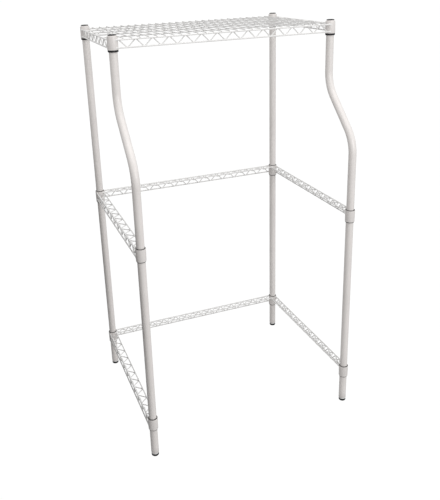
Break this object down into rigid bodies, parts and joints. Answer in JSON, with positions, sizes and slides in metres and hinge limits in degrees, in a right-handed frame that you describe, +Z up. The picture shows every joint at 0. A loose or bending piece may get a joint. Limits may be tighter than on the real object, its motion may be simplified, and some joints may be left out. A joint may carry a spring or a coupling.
{
  "type": "free-standing wire storage rack",
  "caption": "Tall white wire rack with one wire shelf on four tube posts, the front pair bent, open-front side and back rails, and screw levelers.",
  "frame": {"origin": "centre of the rack's footprint, on the floor under the leveler pads", "axes": "+X to the right seen from the open front, +Y to the back, +Z up"},
  "size_m": [0.75, 0.6, 1.35],
  "materials": {
    "tube_white": "satin powder coat",
    "wire_white": "satin powder coat",
    "collar_white": "satin powder coat",
    "sleeve_black": "moulded",
    "cap_black": "moulded",
    "insert_white": "moulded",
    "stud_zinc": "zinc plated",
    "pad_black": "moulded"
  },
  "bodies": {
    "frame": {"post_front_left": "tube_white", "post_cap_front_left": "cap_black", "leveler_insert_front_left": "insert_white", "shelf_collar_front_left": "collar_white", "shelf_sleeve_front_left": "sleeve_black", "mid_collar_front_left": "collar_white", "mid_sleeve_front_left": "sleeve_black", "base_collar_front_left": "collar_white", "base_sleeve_front_left": "sleeve_black", "post_front_right": "tube_white", "post_cap_front_right": "cap_black", "leveler_insert_front_right": "insert_white", "shelf_collar_front_right": "collar_white", "shelf_sleeve_front_right": "sleeve_black", "mid_collar_front_right": "collar_white", "mid_sleeve_front_right": "sleeve_black", "base_collar_front_right": "collar_white", "base_sleeve_front_right": "sleeve_black", "post_rear_left": "tube_white", "post_cap_rear_left": "cap_black", "leveler_insert_rear_left": "insert_white", "shelf_collar_rear_left": "collar_white", "shelf_sleeve_rear_left": "sleeve_black", "mid_collar_rear_left": "collar_white", "mid_sleeve_rear_left": "sleeve_black", "base_collar_rear_left": "collar_white", "base_sleeve_rear_left": "sleeve_black", "post_rear_right": "tube_white", "post_cap_rear_right": "cap_black", "leveler_insert_rear_right": "insert_white", "shelf_collar_rear_right": "collar_white", "shelf_sleeve_rear_right": "sleeve_black", "mid_collar_rear_right": "collar_white", "mid_sleeve_rear_right": "sleeve_black", "base_collar_rear_right": "collar_white", "base_sleeve_rear_right": "sleeve_black", "shelf_truss_front": "wire_white", "shelf_truss_rear": "wire_white", "shelf_truss_left": "wire_white", "shelf_truss_right": "wire_white", "shelf_deck": "wire_white", "mid_rail_left": "wire_white", "mid_rail_right": "wire_white", "mid_rail_rear": "wire_white", "base_rail_left": "wire_white", "base_rail_right": "wire_white", "base_rail_rear": "wire_white"},
    "pad_front_left": {"leveler_pad_front_left": "pad_black"},
    "stud_front_left": {"leveler_stud_front_left": "stud_zinc"},
    "pad_front_right": {"leveler_pad_front_right": "pad_black"},
    "stud_front_right": {"leveler_stud_front_right": "stud_zinc"},
    "pad_rear_left": {"leveler_pad_rear_left": "pad_black"},
    "stud_rear_left": {"leveler_stud_rear_left": "stud_zinc"},
    "pad_rear_right": {"leveler_pad_rear_right": "pad_black"},
    "stud_rear_right": {"leveler_stud_rear_right": "stud_zinc"}
  },
  "joints": [
    {"name": "leveler_travel_front_left", "type": "slide", "parent": "frame", "child": "pad_front_left", "axis": [0, 0, -1], "range_m": [0, 0.015]},
    {"name": "leveler_turn_front_left", "type": "hinge", "parent": "pad_front_left", "child": "stud_front_left", "pos_m": [-0.3588, -0.2838, 0.02], "axis": [0, 0, -1], "range_deg": [0, 4320]},
    {"name": "leveler_travel_front_right", "type": "slide", "parent": "frame", "child": "pad_front_right", "axis": [0, 0, -1], "range_m": [0, 0.015]},
    {"name": "leveler_turn_front_right", "type": "hinge", "parent": "pad_front_right", "child": "stud_front_right", "pos_m": [0.3588, -0.2838, 0.02], "axis": [0, 0, -1], "range_deg": [0, 4320]},
    {"name": "leveler_travel_rear_left", "type": "slide", "parent": "frame", "child": "pad_rear_left", "axis": [0, 0, -1], "range_m": [0, 0.015]},
    {"name": "leveler_turn_rear_left", "type": "hinge", "parent": "pad_rear_left", "child": "stud_rear_left", "pos_m": [-0.3588, 0.2838, 0.02], "axis": [0, 0, -1], "range_deg": [0, 4320]},
    {"name": "leveler_travel_rear_right", "type": "slide", "parent": "frame", "child": "pad_rear_right", "axis": [0, 0, -1], "range_m": [0, 0.015]},
    {"name": "leveler_turn_rear_right", "type": "hinge", "parent": "pad_rear_right", "child": "stud_rear_right", "pos_m": [0.3588, 0.2838, 0.02], "axis": [0, 0, -1], "range_deg": [0, 4320]}
  ],
  "couplings": [
    {"joint": "leveler_travel_front_left", "follows": "leveler_turn_front_left", "m_per_rad": 0.00019894},
    {"joint": "leveler_travel_front_right", "follows": "leveler_turn_front_right", "m_per_rad": 0.00019894},
    {"joint": "leveler_travel_rear_left", "follows": "leveler_turn_rear_left", "m_per_rad": 0.00019894},
    {"joint": "leveler_travel_rear_right", "follows": "leveler_turn_rear_right", "m_per_rad": 0.00019894}
  ]
}
